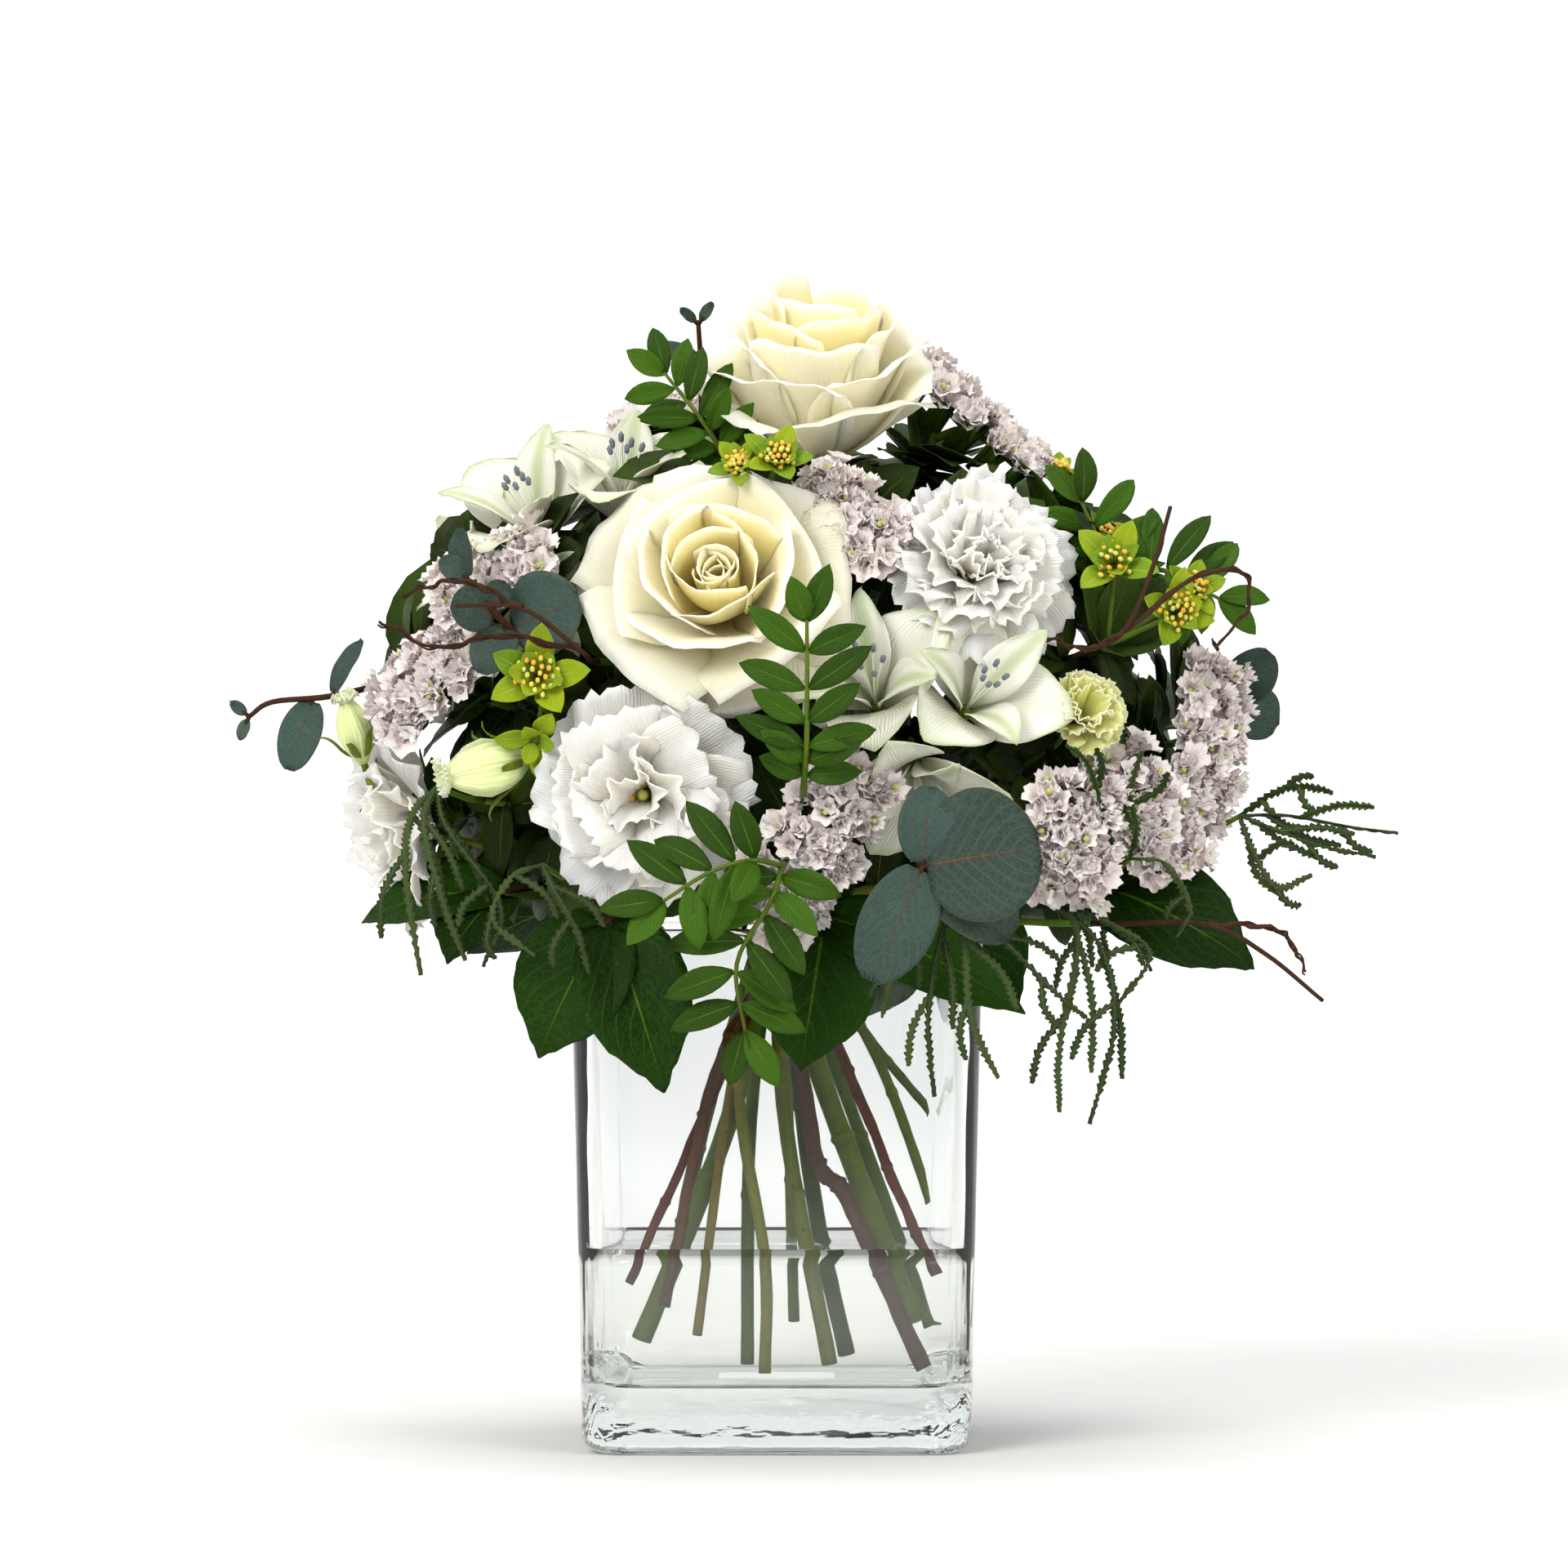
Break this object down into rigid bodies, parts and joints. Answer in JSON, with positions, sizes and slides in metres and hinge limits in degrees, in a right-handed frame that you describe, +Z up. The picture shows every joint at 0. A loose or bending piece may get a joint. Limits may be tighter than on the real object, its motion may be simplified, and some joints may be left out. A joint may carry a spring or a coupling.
{
  "type": "bouquet",
  "caption": "hand-tied bouquet of cream roses, white lisianthus, alstroemeria, statice and mixed foliage, standing in a square clear glass vase of water",
  "frame": {"origin": "middle of the vase's flat underside, on the table", "axes": "+Z up, -Y towards the front seen in the picture, +X to the right in the picture"},
  "size_m": [0.3937, 0.2758, 0.3959],
  "materials": {
    "glass": "polished",
    "water": "polished",
    "stem": "satin",
    "twig": "matte",
    "rose_petal": "matte",
    "lisianthus_petal": "matte",
    "lime_petal": "matte",
    "alstroemeria_petal": "satin",
    "statice_floret": "matte",
    "eucalyptus_leaf": "matte",
    "bupleurum_bract": "satin",
    "pistacia_leaf": "satin",
    "salal_leaf": "satin",
    "coral_fern": "matte",
    "vine_bark": "matte"
  },
  "bodies": {
    "root": {"alstroemeria_back": "alstroemeria_petal", "alstroemeria_left": "alstroemeria_petal", "alstroemeria_right": "alstroemeria_petal", "bud_front_left": "lime_petal", "bud_left": "lime_petal", "bupleurum_centre": "bupleurum_bract", "bupleurum_left": "bupleurum_bract", "bupleurum_right": "bupleurum_bract", "bupleurum_upper_right": "bupleurum_bract", "eucalyptus_back": "eucalyptus_leaf", "eucalyptus_far_left": "eucalyptus_leaf", "eucalyptus_front": "eucalyptus_leaf", "eucalyptus_left": "eucalyptus_leaf", "eucalyptus_right": "eucalyptus_leaf", "eucalyptus_top": "eucalyptus_leaf", "fern_back": "coral_fern", "fern_far_right": "coral_fern", "fern_front": "coral_fern", "fern_front_left": "coral_fern", "fern_left": "coral_fern", "fern_right_low": "coral_fern", "fern_right_over": "coral_fern", "lime_bloom": "lime_petal", "lisianthus_back_left": "lisianthus_petal", "lisianthus_back_right": "lisianthus_petal", "lisianthus_far_left": "lisianthus_petal", "lisianthus_front": "lisianthus_petal", "lisianthus_left": "lisianthus_petal", "lisianthus_right": "lisianthus_petal", "pistacia_back": "pistacia_leaf", "pistacia_centre": "pistacia_leaf", "pistacia_low": "pistacia_leaf", "pistacia_right": "pistacia_leaf", "pistacia_upper_left": "pistacia_leaf", "rose_back": "rose_petal", "rose_front": "rose_petal", "rose_top": "rose_petal", "salal_back_left": "salal_leaf", "salal_back_right": "salal_leaf", "salal_front_left": "salal_leaf", "salal_front_right": "salal_leaf", "salal_left": "salal_leaf", "salal_right": "salal_leaf", "statice_back": "statice_floret", "statice_centre": "statice_floret", "statice_left": "statice_floret", "statice_left_upper": "statice_floret", "statice_low": "statice_floret", "statice_right": "statice_floret", "statice_right_low": "statice_floret", "statice_right_mid": "statice_floret", "statice_top": "statice_floret", "statice_upper_left": "statice_floret", "stems_brown": "twig", "stems_green": "stem", "vase": "glass", "vine_left": "vine_bark", "vine_low": "vine_bark", "vine_right": "vine_bark", "water": "water"}
  },
  "joints": []
}
